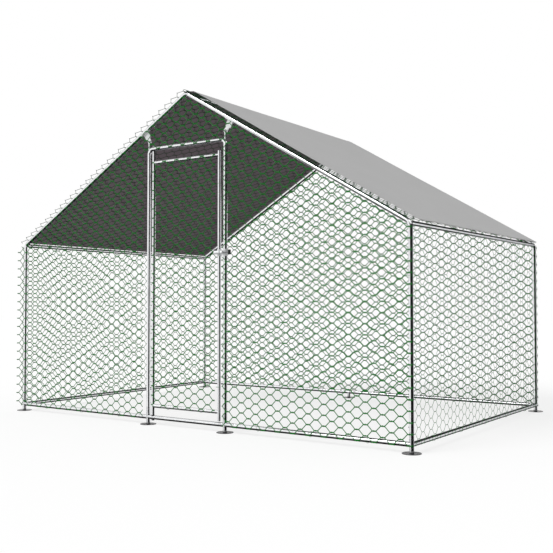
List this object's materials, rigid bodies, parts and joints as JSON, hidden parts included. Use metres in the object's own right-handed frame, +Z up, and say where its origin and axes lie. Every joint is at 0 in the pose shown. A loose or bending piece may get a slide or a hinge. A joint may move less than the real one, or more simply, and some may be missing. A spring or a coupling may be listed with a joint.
{
  "type": "walk-in poultry run",
  "caption": "Walk-in poultry run of galvanised tube with a gable roof, hexagonal wire netting, a swing door with a bolt latch and a fabric roof cover.",
  "frame": {"origin": "on the ground under the middle of the run", "axes": "+X to the right across the gable, -Y out of the door, +Z up"},
  "size_m": [3.075, 2.08, 2.0487],
  "materials": {
    "galvanised": "galvanised, satin",
    "fastener": "zinc plated",
    "netting": "green plastic coated wire",
    "cover": "coated woven fabric, matt",
    "nylon": "matt",
    "plastic": "satin"
  },
  "bodies": {
    "frame": {"foot_front_left": "galvanised", "foot_front_right": "galvanised", "foot_rear_left": "galvanised", "foot_rear_right": "galvanised", "foot_door_left": "galvanised", "foot_door_right": "galvanised", "foot_rear_middle": "galvanised", "rail_front_left": "galvanised", "rail_threshold": "galvanised", "rail_front_right": "galvanised", "rail_rear_left": "galvanised", "rail_rear_right": "galvanised", "rail_side_left": "galvanised", "rail_side_right": "galvanised", "post_front_left": "galvanised", "post_front_right": "galvanised", "post_rear_left": "galvanised", "post_rear_right": "galvanised", "eave_elbow_front_left": "galvanised", "eave_elbow_front_right": "galvanised", "eave_elbow_rear_left": "galvanised", "eave_elbow_rear_right": "galvanised", "rafter_front_left": "galvanised", "rafter_front_right": "galvanised", "rafter_rear_left": "galvanised", "rafter_rear_right": "galvanised", "ridge_elbow_front": "galvanised", "ridge_elbow_rear": "galvanised", "ridge_pole": "galvanised", "eave_rail_left": "galvanised", "eave_rail_right": "galvanised", "door_post_left": "galvanised", "door_post_right": "galvanised", "head_elbow_left": "galvanised", "head_elbow_right": "galvanised", "head_bar": "galvanised", "hanger_left": "galvanised", "hanger_right": "galvanised", "hanger_bolts": "fastener", "frame_screws": "fastener", "hinge_pins": "fastener", "latch_guide": "galvanised", "net_front_left": "netting", "net_front_right": "netting", "net_front_gable": "netting", "net_wall_left": "netting", "net_wall_right": "netting", "net_rear": "netting", "net_roof_left": "netting", "net_roof_right": "netting", "roof_cover": "cover"},
    "door": {"door_stile_hinge": "galvanised", "door_stile_latch": "galvanised", "door_bar_top": "galvanised", "door_bar_bottom": "galvanised", "hinge_bushes": "nylon", "net_door": "netting", "latch_keeper": "galvanised"},
    "latch": {"latch_bolt": "galvanised", "latch_handle": "plastic"}
  },
  "joints": [
    {"name": "door_swing", "type": "hinge", "parent": "frame", "child": "door", "pos_m": [-0.264, -0.9875, 0.9], "axis": [0, 0, -1], "range_deg": [0, 120]},
    {"name": "latch_slide", "type": "slide", "parent": "frame", "child": "latch", "axis": [-1, 0, 0], "range_m": [0, 0.018]}
  ]
}
